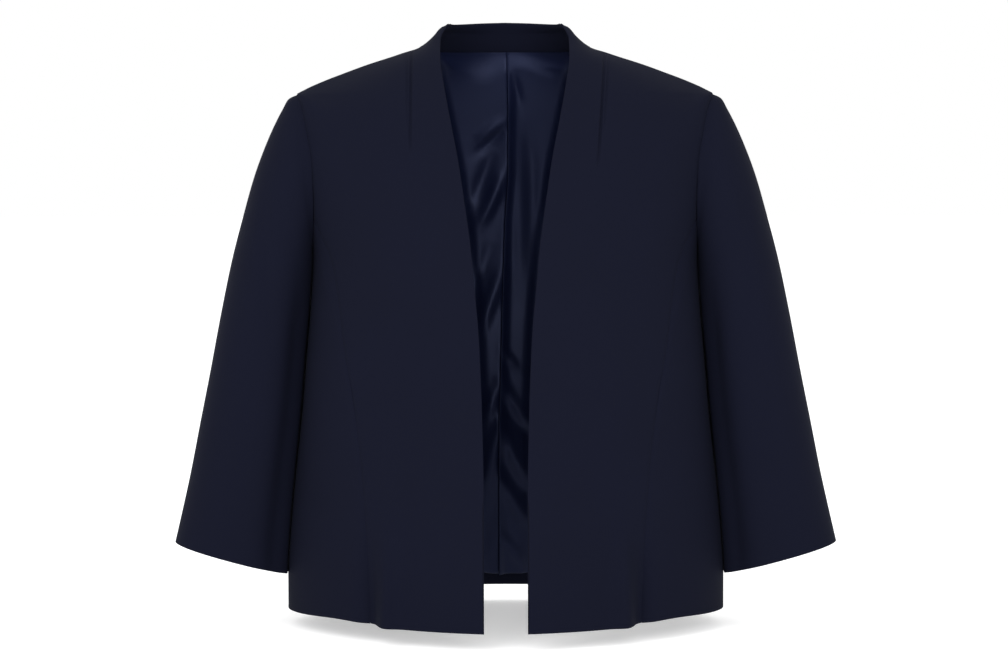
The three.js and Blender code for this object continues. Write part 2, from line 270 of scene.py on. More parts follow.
@dataclass(frozen=True)
class Wave:
    """A size that swings about its mean across a panel, so that an edge of folds is uneven."""

    mean: float
    swing: float
    length: float
    start: float

    def at(self, place: np.ndarray) -> np.ndarray:
        """The size at places across the panel."""
        return self.mean + self.swing * np.cos(place / self.length + self.start)


# The fronts towards the hem: its rise by the side seam, and the flare fold beside the panel seam
HEM_RISE = Swell(165, 38, 3.4)
FLARE_RIDGE = Swell(113, 9, 8)
FLARE_VALLEY = Swell(132, 8, -7)


@dataclass(frozen=True)
class Crease:
    """A soft trough (height below 0) or ridge from one place on a panel to another.

    u and v are the panel's own map in millimetres, such as half width and level.
    """

    END_SHARE = 0.25
    SWELLING = 0.7
    FADE = 1.6

    u0: float
    v0: float
    u1: float
    v1: float
    height: float
    reach: float
    bow: float = 0.0

    def lift(self, u: np.ndarray, v: np.ndarray) -> np.ndarray:
        """How far the crease lifts each place.

        Args:
            u: First map coordinate of each place.
            v: Second map coordinate of each place.

        Returns:
            The lift in millimetres, faded towards both ends of the crease.
        """
        run = np.array([self.u1 - self.u0, self.v1 - self.v0], float)
        length = float(np.hypot(*run))
        along = run / length
        du, dv = u - self.u0, v - self.v0
        share = (du * along[0] + dv * along[1]) / length
        middle = np.clip(share, 0, 1)
        across = -du * along[1] + dv * along[0] - self.bow * 4 * middle * (1 - middle)
        past = (share - middle) * length
        taper = self.END_SHARE + (1 - self.END_SHARE) * np.sin(np.pi * middle) ** self.SWELLING
        return self.height * taper * bump(across, self.reach) * bump(past, self.FADE * self.reach)


@dataclass
class Grid:
    """A panel's points and outward directions, in rows down the cloth."""

    PULL = 0.8
    EASED_SHARE = 0.9

    points: np.ndarray
    normals: np.ndarray
    closed: bool = False

    def raised(self, lift: np.ndarray) -> "Grid":
        """The grid moved out along its directions by a lift for each point."""
        return Grid(self.points + self.normals * np.asarray(lift)[..., None], self.normals, self.closed)

    def mirrored(self, side: Side) -> "Grid":
        """The grid on the given side, from one made on the wearer's left."""
        flip = np.array([side.value, 1, 1], float)
        return Grid(self.points * flip, self.normals * flip, self.closed)

    def eased(self, level: float, reach: float, passes: int = 120) -> "Grid":
        """The grid with its depths evened out down each column, around a level.

        Args:
            level: Where the depths are evened out most.
            reach: How far above and below the level that fades.
            passes: How many times each depth moves towards its neighbours' mean.

        Returns:
            A grid with the same edges and softer form.
        """
        points = self.points.copy()
        depth, height = points[..., 1], points[..., 2]
        inside = 1 - smooth(points[1:-1, :, 0] / points[1:-1, -1:, 0], self.EASED_SHARE, 1)
        weight = self.PULL * inside * bump(height[1:-1] - level, reach)
        up, down = height[:-2] - height[1:-1], height[1:-1] - height[2:]
        for _ in range(passes):
            mean = (depth[:-2] * down + depth[2:] * up) / (up + down)
            depth[1:-1] += weight * (mean - depth[1:-1])
        return Grid(points, self.normals, self.closed)

    def with_own_normals(self) -> "Grid":
        """The grid with directions worked out from its own points, on the same side as before."""
        down = np.gradient(self.points, axis=0)
        if self.closed:
            across = np.roll(self.points, -1, axis=1) - np.roll(self.points, 1, axis=1)
        else:
            across = np.gradient(self.points, axis=1)
        normals = unit(np.cross(down, across))
        wrong = np.sum(normals * self.normals, axis=-1) < 0
        normals[wrong] *= -1
        return Grid(self.points, normals, self.closed)

    def area(self) -> float:
        """The cloth's area in square metres."""
        points = self.points
        if self.closed:
            points = np.concatenate([points, points[:, :1]], axis=1)
        first = np.cross(points[1:, :-1] - points[:-1, :-1], points[1:, 1:] - points[:-1, :-1])
        second = np.cross(points[1:, 1:] - points[:-1, :-1], points[:-1, 1:] - points[:-1, :-1])
        total = np.linalg.norm(first, axis=-1).sum() + np.linalg.norm(second, axis=-1).sum()
        return float(total / 2) * MM * MM


class Body:
    """The general figure's form that all of the panels lie on."""

    @staticmethod
    def _section(y: np.ndarray, z: np.ndarray) -> tuple[np.ndarray, np.ndarray]:
        """Power and full depth of the form's half that each place lies in."""
        front = y < 0
        power = np.where(front, BODY.at("front_power", z), BODY.at("back_power", z))
        return power, np.where(front, BODY.at("front", z), BODY.at("back", z))

    @classmethod
    def outside(cls, x: np.ndarray, y: np.ndarray, z: np.ndarray) -> np.ndarray:
        """How far places lie outside the form: 0 on it, below 0 inside."""
        power, depth = cls._section(y, z)
        return (np.abs(x) / BODY.at("width", z)) ** power + (np.abs(y) / depth) ** power - 1

    @classmethod
    def normals(cls, x: np.ndarray, y: np.ndarray, z: np.ndarray) -> np.ndarray:
        """Outward directions of the form."""
        step = 0.05
        return unit(np.stack([
            cls.outside(x + step, y, z) - cls.outside(x - step, y, z),
            cls.outside(x, y + step, z) - cls.outside(x, y - step, z),
            cls.outside(x, y, z + step) - cls.outside(x, y, z - step),
        ], axis=-1))

    @staticmethod
    def depth(x: np.ndarray, z: np.ndarray, facing: Facing) -> np.ndarray:
        """Depth of the form in front of or behind the seams' plane, without its sign."""
        half = facing.name.lower()
        power = BODY.at(f"{half}_power", z)
        across = np.clip(np.abs(x) / BODY.at("width", z), 0, 1)
        return BODY.at(half, z) * (1 - across ** power) ** (1 / power)

    @classmethod
    def width(cls, y: np.ndarray, z: np.ndarray) -> np.ndarray:
        """Half width of the form at depths y and levels z."""
        power, depth = cls._section(y, z)
        through = np.clip(np.abs(y) / depth, 0, 1)
        return BODY.at("width", z) * (1 - through ** power) ** (1 / power)

    @classmethod
    def panel(cls, x: np.ndarray, z: np.ndarray, facing: Facing) -> Grid:
        """A panel's grid on the form, half a seam away from the seams' plane."""
        y = facing.value * np.maximum(cls.depth(x, z, facing), SEAM / 2)
        return Grid(np.stack([x, y, z], axis=-1), cls.normals(x, y, z))

    @staticmethod
    def shoulder_level(x: np.ndarray) -> np.ndarray:
        """Level at which the collar's side and the shoulder seam reach a half width."""
        low = np.full(np.shape(x), ARMHOLE_TOP_Z)
        high = np.full(np.shape(x), COLLAR_SIDE_Z)
        for _ in range(HALVINGS):
            middle = (low + high) / 2
            wider = BODY.at("width", middle) > x
            low = np.where(wider, middle, low)
            high = np.where(wider, high, middle)
        return (low + high) / 2

    @staticmethod
    def armhole_level(turn: np.ndarray) -> np.ndarray:
        """Level of the armhole seam, for a turn from 0 at the shoulder point to 1 at the underarm."""
        middle = (ARMHOLE_TOP_Z + ARMHOLE_BOTTOM_Z) / 2
        half = (ARMHOLE_TOP_Z - ARMHOLE_BOTTOM_Z) / 2
        return middle + half * np.cos(np.pi * np.asarray(turn, float))

    @staticmethod
    def angle(x: np.ndarray, z: np.ndarray) -> np.ndarray:
        """Angle at which a half width lies round the form's section."""
        return np.arcsin(np.clip(x / BODY.at("width", z), 0, 1))

    @classmethod
    def outer_edge(cls, z: np.ndarray, facing: Facing) -> np.ndarray:
        """Half width of a panel's outer edge: shoulder point, armhole, then panel seam or side seam."""
        lower = BODY.at("width", z)
        edge = np.where(z > ARMHOLE_BOTTOM_Z, ARMHOLE.at("x", z), lower)
        if facing is Facing.FRONT:
            seam_top = cls.armhole_level(PANEL_SEAM_TURN)
            edge = np.where(z <= seam_top + 1e-9, PANEL_SEAM.at("x", z), edge)
        return np.where(z >= ARMHOLE_TOP_Z, SHOULDER_X, edge)


def edge_levels(turn: float, upper: int, lower: int) -> np.ndarray:
    """Levels down a panel's outer edge.

    Args:
        turn: How far round the armhole the edge goes before it leaves it.
        upper: Number of steps along the armhole.
        lower: Number of steps from there to the hem.

    Returns:
        The levels from the shoulder point to the hem.
    """
    start = float(Body.armhole_level(turn))
    top = ARMHOLE_TOP_Z + (start - ARMHOLE_TOP_Z) * np.linspace(0, 1, upper, endpoint=False) ** TOP_SPACING
    return np.concatenate([top, np.linspace(start, HEM_Z, lower + 1)])


def spread(levels: np.ndarray, tops: np.ndarray) -> np.ndarray:
    """Levels of the outer edge carried over to columns that start at other tops."""
    share = (levels - levels[-1]) / (levels[0] - levels[-1])
    return levels[-1] + share[:, None] * (tops - levels[-1])[None, :]


def from_left(grid: Grid) -> np.ndarray:
    """Distance of each point from the first column, along its row."""
    steps = np.linalg.norm(np.diff(grid.points, axis=1), axis=-1)
    return np.concatenate([np.zeros((len(steps), 1)), np.cumsum(steps, axis=1)], axis=1)


def from_top(grid: Grid) -> np.ndarray:
    """Distance of each point from the first row, along its column."""
    steps = np.linalg.norm(np.diff(grid.points, axis=0), axis=-1)
    return np.concatenate([np.zeros((1, steps.shape[1])), np.cumsum(steps, axis=0)], axis=0)


def seam_dip(distance: np.ndarray, depth: float = 0.9, reach: float = 2.2) -> np.ndarray:
    """Lift of cloth that rolls down into a seam, at a distance from it."""
    return -depth * bump(distance, reach)


def armhole_dip(z: np.ndarray) -> np.ndarray:
    """Share of a seam's dip at the armhole, which is flat over the shoulder and deeper below."""
    return FLAT_SHARE + (1 - FLAT_SHARE) * smooth(-z, -FLAT_ABOVE_Z, -FULL_BELOW_Z)


class Edge(Enum):
    """A grid's edges that may be free: its first row, its last row and the start of its rows."""

    TOP = "top"
    BOTTOM = "bottom"
    START = "start"


class Cloth:
    """Turns grids into walls of cloth with rounded free edges and tight sewn edges."""

    SEWN_RADIUS = 0.25
    TURNS = (45, 90)

    def __init__(self, name: str, thickness: float, free: tuple[Edge, ...]) -> None:
        """Keeps how the wall is made.

        Args:
            name: The piece's name.
            thickness: The cloth's thickness in millimetres.
            free: The edges that are sewn to nothing.
        """
        self.name = name
        self.thickness = thickness
        self.free = free

    @staticmethod
    def _loops(numbers: np.ndarray, closed: bool) -> list[np.ndarray]:
        """Vertex numbers round each open edge of a grid."""
        if closed:
            return [numbers[0], numbers[-1][::-1]]
        return [np.concatenate([numbers[0, :-1], numbers[:-1, -1], numbers[-1, :0:-1], numbers[:0:-1, 0]])]

    def _edges(self, grid: Grid) -> tuple[np.ndarray, np.ndarray]:
        """Directions off the grid at its edges, and how far round each edge turns."""
        points = grid.points
        away = np.zeros_like(points)
        radius = np.full(points.shape[:2], self.SEWN_RADIUS)
        for last, before in ((0, 1), (-1, -2)):
            away[last] += unit(points[last] - points[before])
            if not grid.closed:
                away[:, last] += unit(points[:, last] - points[:, before])
        if Edge.TOP in self.free:
            radius[0] = self.thickness / 2
        if Edge.BOTTOM in self.free:
            radius[-1] = self.thickness / 2
        if Edge.START in self.free:
            radius[:, 0] = self.thickness / 2
        return unit(away) * (np.linalg.norm(away, axis=-1, keepdims=True) > 0), radius

    def build(self, grid: Grid) -> bpy.types.Object:
        """Makes the wall as a closed mesh.

        Args:
            grid: The cloth's outside.

        Returns:
            The new object, linked to the scene.
        """
        away, radius = self._edges(grid)
        outer = grid.points - away * np.where(radius > self.SEWN_RADIUS, radius, 0)[..., None]
        inner = outer - grid.normals * self.thickness
        rows, columns = outer.shape[:2]
        count = rows * columns
        points = [outer.reshape(-1, 3), inner.reshape(-1, 3)]
        numbers = np.arange(count).reshape(rows, columns)
        wrapped = np.concatenate([numbers, numbers[:, :1]], axis=1) if grid.closed else numbers
        cells = np.stack([wrapped[:-1, :-1], wrapped[1:, :-1], wrapped[1:, 1:], wrapped[:-1, 1:]], axis=-1)
        cells = cells.reshape(-1, 4)
        faces = [cells, cells[:, ::-1] + count]
        total = 2 * count
        flat_away, flat_normals = away.reshape(-1, 3), grid.normals.reshape(-1, 3)
        flat_outer, flat_radius = outer.reshape(-1, 3), radius.reshape(-1, 1)
        steps = [(turn, False) for turn in self.TURNS] + [(180 - turn, True) for turn in self.TURNS[::-1]]
        for loop in self._loops(numbers, grid.closed):
            rings = [loop]
            r = flat_radius[loop]
            for degrees, beyond in steps:
                turn = math.radians(degrees)
                sink = r * (1 - math.cos(turn)) + (self.thickness - 2 * r if beyond else 0)
                out = flat_away[loop] * r * math.sin(turn)
                points.append(flat_outer[loop] + out - flat_normals[loop] * sink)
                rings.append(np.arange(total, total + len(loop)))
                total += len(loop)
            rings.append(loop + count)
            for upper, lower in zip(rings, rings[1:]):
                after_upper, after_lower = np.roll(upper, -1), np.roll(lower, -1)
                faces.append(np.stack([upper, after_upper, after_lower, lower], axis=-1))
        return self._object(np.concatenate(points) * MM, np.concatenate(faces))

    def _object(self, points: np.ndarray, faces: np.ndarray) -> bpy.types.Object:
        """A smooth mesh object whose faces point out."""
        a, b, c, d = (points[faces[:, i]] for i in range(4))
        volume = np.sum(a * np.cross(b, c)) + np.sum(a * np.cross(c, d))
        if volume < 0:
            faces = faces[:, ::-1]
        mesh = bpy.data.meshes.new(self.name)
        mesh.from_pydata(points.tolist(), [], faces.tolist())
        mesh.polygons.foreach_set("use_smooth", np.ones(len(faces), bool))
        mesh.validate()
        mesh.update()
        piece = bpy.data.objects.new(self.name, mesh)
        bpy.context.scene.collection.objects.link(piece)
        return piece


class Graph:
    """A small helper that adds and joins shader nodes."""

    def __init__(self, tree: bpy.types.NodeTree) -> None:
        """Keeps the tree that the nodes go into."""
        self.tree = tree

    def node(self, kind: str, **values: object) -> bpy.types.Node:
        """Adds a node.

        Args:
            kind: The node's type without its ShaderNode prefix.
            values: Properties of the node, or default values of its inputs with spaces as underscores.

        Returns:
            The new node.
        """
        node = self.tree.nodes.new(kind if kind.startswith("Node") else f"ShaderNode{kind}")
        for name, value in values.items():
            if hasattr(node, name):
                setattr(node, name, value)
            else:
                node.inputs[name.replace("_", " ")].default_value = value
        return node

    def join(self, source: bpy.types.NodeSocket, target: bpy.types.NodeSocket) -> None:
        """Joins an output to an input."""
        self.tree.links.new(source, target)


def new_group(
    name: str, inputs: dict[str, float], outputs: dict[str, str]
) -> tuple[Graph, bpy.types.Node, bpy.types.Node]:
    """Starts a shader node group.

    Args:
        name: The group's name.
        inputs: Names and starting values of its float inputs.
        outputs: Names of its outputs and their socket types.

    Returns:
        The group's graph, its input node and its output node.
    """
    tree = bpy.data.node_groups.new(name, "ShaderNodeTree")
    for key, value in inputs.items():
        socket = tree.interface.new_socket(key, in_out="INPUT", socket_type="NodeSocketFloat")
        socket.default_value = value
    for key, kind in outputs.items():
        tree.interface.new_socket(key, in_out="OUTPUT", socket_type=kind)
    graph = Graph(tree)
    return graph, graph.node("NodeGroupInput"), graph.node("NodeGroupOutput")


def yarn_group() -> bpy.types.NodeTree:
    """Group for the pebbly grain of crepe and the fine threads of satin.

    Returns:
        A group that gives the grain's height, and a slow mottle for colour and roughness.
    """
    graph, inside, outside = new_group(
        "Yarn grain",
        {"Grain": 1400.0, "Stretch": 1.0, "Mottle": 9.0},
        {"Height": "NodeSocketFloat", "Mottle": "NodeSocketFloat"},
    )
    place = graph.node("TexCoord")
    shape = graph.node("CombineXYZ", X=1.0, Y=1.0)
    graph.join(inside.outputs["Stretch"], shape.inputs["Z"])
    scaled = graph.node("VectorMath", operation="MULTIPLY")
    graph.join(place.outputs["Object"], scaled.inputs[0])
    graph.join(shape.outputs["Vector"], scaled.inputs[1])
    grain = graph.node("TexNoise", Detail=2.0, Roughness=0.6)
    graph.join(scaled.outputs["Vector"], grain.inputs["Vector"])
    graph.join(inside.outputs["Grain"], grain.inputs["Scale"])
    mottle = graph.node("TexNoise", Detail=3.0, Roughness=0.55)
    graph.join(place.outputs["Object"], mottle.inputs["Vector"])
    graph.join(inside.outputs["Mottle"], mottle.inputs["Scale"])
    graph.join(grain.outputs["Fac"], outside.inputs["Height"])
    graph.join(mottle.outputs["Fac"], outside.inputs["Mottle"])
    return graph.tree


@dataclass(frozen=True)
class Finish:
    """A cloth's looks: its colours, gloss and grain."""

    name: str
    slot: str
    dark: tuple[float, float, float]
    light: tuple[float, float, float]
    rough_low: float
    rough_high: float
    grain: float
    stretch: float
    mottle: float
    bump_height: float
    bump_depth: float
    sheen: float
    sheen_tint: tuple[float, float, float]
    specular: float
    specular_tint: tuple[float, float, float]

    def build(self, yarn: bpy.types.NodeTree) -> bpy.types.Material:
        """Makes the material.

        Args:
            yarn: The shared group for grain and mottle.

        Returns:
            The finished material.
        """
        material = bpy.data.materials.new(self.name)
        material.use_nodes = True
        graph = Graph(material.node_tree)
        shader = material.node_tree.nodes["Principled BSDF"]
        shader.inputs["Sheen Weight"].default_value = self.sheen
        shader.inputs["Sheen Roughness"].default_value = 0.5
        shader.inputs["Sheen Tint"].default_value = (*self.sheen_tint, 1)
        shader.inputs["Specular IOR Level"].default_value = self.specular
        shader.inputs["Specular Tint"].default_value = (*self.specular_tint, 1)
        cloth = graph.node("Group", node_tree=yarn)
        cloth.inputs["Grain"].default_value = self.grain
        cloth.inputs["Stretch"].default_value = self.stretch
        cloth.inputs["Mottle"].default_value = self.mottle
        colour = graph.node("Mix", data_type="RGBA")
        colour.inputs[6].default_value = (*self.dark, 1)
        colour.inputs[7].default_value = (*self.light, 1)
        graph.join(cloth.outputs["Mottle"], colour.inputs["Factor"])
        graph.join(colour.outputs[2], shader.inputs["Base Color"])
        rough = graph.node("MapRange", To_Min=self.rough_low, To_Max=self.rough_high)
        graph.join(cloth.outputs["Mottle"], rough.inputs["Value"])
        graph.join(rough.outputs["Result"], shader.inputs["Roughness"])
        relief = graph.node("Bump", Strength=self.bump_height, Distance=self.bump_depth)
        graph.join(cloth.outputs["Height"], relief.inputs["Height"])
        graph.join(relief.outputs["Normal"], shader.inputs["Normal"])
        return material


CREPE = Finish(
    name="Navy crepe", slot="shell", dark=(0.0035, 0.0041, 0.0098), light=(0.0043, 0.0050, 0.0119),
    rough_low=0.82, rough_high=0.95, grain=1500.0, stretch=1.0, mottle=11.0, bump_height=0.35,
    bump_depth=0.0003, sheen=0.006, sheen_tint=(0.55, 0.6, 0.85), specular=0.05,
    specular_tint=(0.9, 0.93, 1.0),
)
LINING_SATIN = Finish(
    name="Navy satin", slot="satin", dark=(0.0034, 0.0048, 0.0160), light=(0.0048, 0.0069, 0.0230),
    rough_low=0.36, rough_high=0.46, grain=900.0, stretch=0.12, mottle=14.0, bump_height=0.12,
    bump_depth=0.0003, sheen=0.0, sheen_tint=(1.0, 1.0, 1.0), specular=0.26,
    specular_tint=(0.5, 0.58, 1.0),
)


@dataclass(frozen=True)
class Cut:
    """The flat size that a piece was cut to, in metres and square metres."""

    width: float
    length: float
    area: float


@dataclass
class Wardrobe:
    """Makes each piece of cloth: its wall, its material and what it stands for."""

    materials: dict[Finish, bpy.types.Material]

    def sew(self, cloth: Cloth, shape: Grid, finish: Finish, rests_on: list[str]) -> None:
        """Makes a piece and gives it its finish and its place in the part.

        Args:
            cloth: How its wall is made, named as the node that it stands for with _cloth after it.
            shape: The cloth's outside.
            finish: The cloth that it is made of.
            rests_on: Not used.
        """
        piece = cloth.build(shape)
        piece.data.materials.append(self.materials[finish])
        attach(piece, ROOT)
        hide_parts(piece.name.removesuffix("_cloth"))
        LOG.info("%s: %d faces, %.4f square metres", piece.name, len(piece.data.polygons), shape.area())


@dataclass
class CentreFront:
    """One centre front with its grown-on stand, neck tuck and flare fold by the hem."""

    side: Side
    columns: int = 76
    fine_columns: tuple[float, float, float] = (86.0, 112.0, 0.5)
    margin: float = 0.3
    upper: int = 62
    lower: int = 140
    cut: Cut = Cut(0.215, 0.62, 0.082)
    tucks: dict[Side, tuple[Crease, ...]] = field(default_factory=lambda: {
        Side.RIGHT: (Crease(91.5, 4, 90.8, -98, -2.5, 1.2), Crease(95.5, -4, 93, -76, -1.3, 1.1)),
        Side.LEFT: (Crease(98, 0, 89, -112, -2.5, 1.2), Crease(101.5, -6, 95, -80, -1.3, 1.1)),
    })
    tuck_start: float = 6.0
    shoulder_dip: float = 0.3
    easing: float = 30.0
    hollows: tuple[Crease, ...] = (
        Crease(124, -270, 140, -340, -1.6, 12),
        Crease(150, -60, 120, -170, -0.5, 16),
    )

    def grid(self) -> Grid:
        """The panel's outside on the wearer's left, without its folds."""
        levels = edge_levels(PANEL_SEAM_TURN, self.upper, self.lower)
        even = np.linspace(COLLAR_SIDE_X, SHOULDER_X, self.columns + 1)
        fine = np.arange(*self.fine_columns)
        beside = (even < fine[0] - self.margin) | (even > fine[-1] + self.margin)
        tops = np.sort(np.concatenate([even[beside], fine]))
        z = spread(levels, Body.shoulder_level(tops))
        start = FRONT_EDGE.at("x", Body.shoulder_level(tops))
        share = np.clip((tops - start) / (SHOULDER_X - start), 0, 1)
        inner = FRONT_EDGE.at("x", z)
        x = inner + (Body.outer_edge(z, Facing.FRONT) - inner) * share
        return Body.panel(x, raised(x, z), Facing.FRONT).eased(ARMHOLE_TOP_Z, self.easing)

    def build(self, wardrobe: Wardrobe) -> None:
        """Makes and dresses the panel."""
        grid = self.grid()
        x, z = grid.points[..., 0], grid.points[..., 2]
        tucks = sum(tuck.lift(x, z) for tuck in self.tucks[self.side])
        hollows = sum(hollow.lift(x, z) for hollow in self.hollows)
        across, down = from_left(grid), from_top(grid)
        lift = flare(x, z) + tucks * smooth(down, 0, self.tuck_start) + hollows
        lift = lift + armhole_dip(z) * seam_dip(across[:, -1:] - across) + seam_dip(down, self.shoulder_dip)
        shaped = grid.raised(lift).with_own_normals().mirrored(self.side)
        cloth = Cloth(f"front_{self.side.word}_cloth", SHELL, (Edge.START, Edge.BOTTOM))
        wardrobe.sew(cloth, shaped, CREPE, ["back", "back_collar"])


def towards_hem(z: np.ndarray) -> np.ndarray:
    """Share of the flare that has come in at a level: none at its top, all at the hem."""
    return smooth(-z, -FLARE_TOP_Z, -HEM_Z)


def raised(x: np.ndarray, z: np.ndarray) -> np.ndarray:
    """Level of a front, raised where its hem curves up towards the side seam."""
    return z + towards_hem(z) * HEM_RISE.at(x)


def flare(x: np.ndarray, z: np.ndarray) -> np.ndarray:
    """Height of the flare fold beside a panel seam, which grows towards the hem."""
    return towards_hem(z) * (FLARE_RIDGE.at(x) + FLARE_VALLEY.at(x))


@dataclass
class SideFront:
    """One side front, from the lower armhole to the hem."""

    side: Side
    columns: int = 34
    rows: int = 150
    top_dip: float = 0.5
    cut: Cut = Cut(0.125, 0.395, 0.040)

    def grid(self) -> Grid:
        """The panel's outside on the wearer's left."""
        share = np.linspace(0, 1, self.columns + 1)
        tops = Body.armhole_level(PANEL_SEAM_TURN + (1 - PANEL_SEAM_TURN) * share)
        down = np.linspace(0, 1, self.rows + 1)[:, None]
        z = tops + (HEM_Z - tops) * down
        seam = Body.angle(PANEL_SEAM.at("x", z), z)
        even = seam + (np.pi / 2 - seam) * share
        armhole = Body.angle(ARMHOLE.at("x", tops), tops)
        blend = smooth(down, 0, ARMHOLE_REACH)
        angle = np.where(share > 0, armhole + (even - armhole) * blend, seam)
        x = BODY.at("width", z) * np.sin(angle)
        return Body.panel(x, raised(x, z), Facing.FRONT)

    def build(self, wardrobe: Wardrobe) -> None:
        """Makes and dresses the panel."""
        grid = self.grid()
        across = from_left(grid)
        lift = flare(grid.points[..., 0], grid.points[..., 2])
        lift = lift + seam_dip(across) + seam_dip(across[:, -1:] - across)
        lift = lift + seam_dip(from_top(grid), self.top_dip)
        shaped = grid.raised(lift).with_own_normals().mirrored(self.side)
        cloth = Cloth(f"side_front_{self.side.word}_cloth", SHELL, (Edge.BOTTOM,))
        wardrobe.sew(cloth, shaped, CREPE, [f"front_{self.side.word}"])


# How far from the shoulder point's level the back is eased
BACK_EASING = 26.0

# Soft folds of the back, which its lining follows
BACK_FOLDS = (
    Crease(120, -300, 96, -545, -3.0, 26),
    Crease(60, -330, 70, -550, 2.2, 24),
    Crease(172, -150, 120, -240, -1.4, 15),
    Crease(-118, -310, -90, -548, -2.6, 28),
    Crease(-52, -350, -64, -552, 2.4, 22),
    Crease(-170, -160, -125, -250, -1.6, 14),
)


def half_back(columns: int, upper: int, lower: int) -> Grid:
    """Half of the back on the wearer's left, from the neck and shoulder seams to the hem.

    Args:
        columns: Number of steps from the centre to the side.
        upper: Number of steps down the armhole.
        lower: Number of steps from the underarm to the hem.

    Returns:
        The outside of the back, with its first column at the centre.
    """
    levels = edge_levels(1.0, upper, lower)
    tops = SHOULDER_X * np.sin(np.pi / 2 * np.linspace(0, 1, columns + 1))
    neck_seam = float(Body.shoulder_level(np.array(NECK_POINT_X))) - SEAM / 2
    z = spread(levels, np.minimum(Body.shoulder_level(tops), neck_seam))
    x = tops / SHOULDER_X * Body.outer_edge(z, Facing.BACK)
    return Body.panel(x, z, Facing.BACK)


def back_folds(side: Side, x: np.ndarray, z: np.ndarray) -> np.ndarray:
    """Lift of the back's soft folds, at half widths on one side."""
    return sum(fold.lift(side.value * x, z) for fold in BACK_FOLDS)


def joined(right: Grid, left: Grid) -> Grid:
    """A whole piece from its two halves, each with its first column at the centre."""
    return Grid(
        np.concatenate([right.points[:, :0:-1], left.points], axis=1),
        np.concatenate([right.normals[:, :0:-1], left.normals], axis=1),
    )


@dataclass
class Back:
    """The back, with the band of its neck, its facing and its turned-up hem."""

    columns: int = 78
    upper: int = 60
    lower: int = 125
    band_columns: int = 40
    band_rows: int = 14
    shoulder_dip: float = 0.3
    cut: Cut = Cut(0.56, 0.58, 0.282)
    band_cut: Cut = Cut(0.225, 0.034, 0.0067)
    turnup_cut: Cut = Cut(0.55, 0.038, 0.0195)

    def build(self, wardrobe: Wardrobe) -> None:
        """Makes and dresses the back and what is sewn to it."""
        self._back(wardrobe)
        self._band(wardrobe, "back_collar", 0, ["back"])
        self._band(wardrobe, "neck_facing", UNDER_SHELL, ["back_collar"])
        self._turnup(wardrobe)

    def _surface(self) -> Grid:
        """The back's outside with its soft folds."""
        half = half_back(self.columns, self.upper, self.lower).eased(ARMHOLE_TOP_Z, BACK_EASING)
        x, z = half.points[..., 0], half.points[..., 2]
        right, left = (half.raised(back_folds(side, x, z)).mirrored(side) for side in Side)
        return joined(right, left)

    def _back(self, wardrobe: Wardrobe) -> None:
        """Makes the back."""
        grid = self._surface()
        across = from_left(grid)
        edges = seam_dip(across) + seam_dip(across[:, -1:] - across)
        edges = armhole_dip(grid.points[..., 2]) * edges + seam_dip(from_top(grid), self.shoulder_dip)
        shaped = grid.raised(edges).with_own_normals()
        cloth = Cloth("back_cloth", SHELL, (Edge.BOTTOM,))
        wardrobe.sew(cloth, shaped, CREPE, ["side_front_right", "side_front_left"])

    def _band(self, wardrobe: Wardrobe, name: str, depth: float, rests_on: list[str]) -> None:
        """Makes a band round the back of the neck, moved in by a depth."""
        bottom = float(Body.shoulder_level(np.array(NECK_POINT_X))) + SEAM / 2
        down = np.linspace(0, 1, self.band_rows + 1)[:, None]
        angle = np.linspace(0, np.pi / 2, self.band_columns + 1)
        top = COLLAR_SIDE_Z + COLLAR_RISE * np.cos(angle) ** 2
        z = top + (bottom - top) * down
        grid = Body.panel(BODY.at("width", z) * np.sin(angle), z, Facing.BACK)
        half = grid.raised(np.full(z.shape, -depth))
        shaped = joined(half.mirrored(Side.RIGHT), half)
        wardrobe.sew(Cloth(f"{name}_cloth", SHELL, (Edge.TOP,)), shaped, CREPE, rests_on)

    def _turnup(self, wardrobe: Wardrobe) -> None:
        """Makes the turned-up hem inside the back."""
        grid = self._surface()
        rows = grid.points[:, 0, 2] <= TURNUP_TOP_Z
        grid = Grid(grid.points[rows], grid.normals[rows])
        shaped = grid.raised(np.full(grid.points.shape[:2], -UNDER_SHELL))
        cloth = Cloth("hem_turnup_cloth", SATIN, (Edge.TOP, Edge.BOTTOM))
        wardrobe.sew(cloth, shaped, CREPE, ["back"])


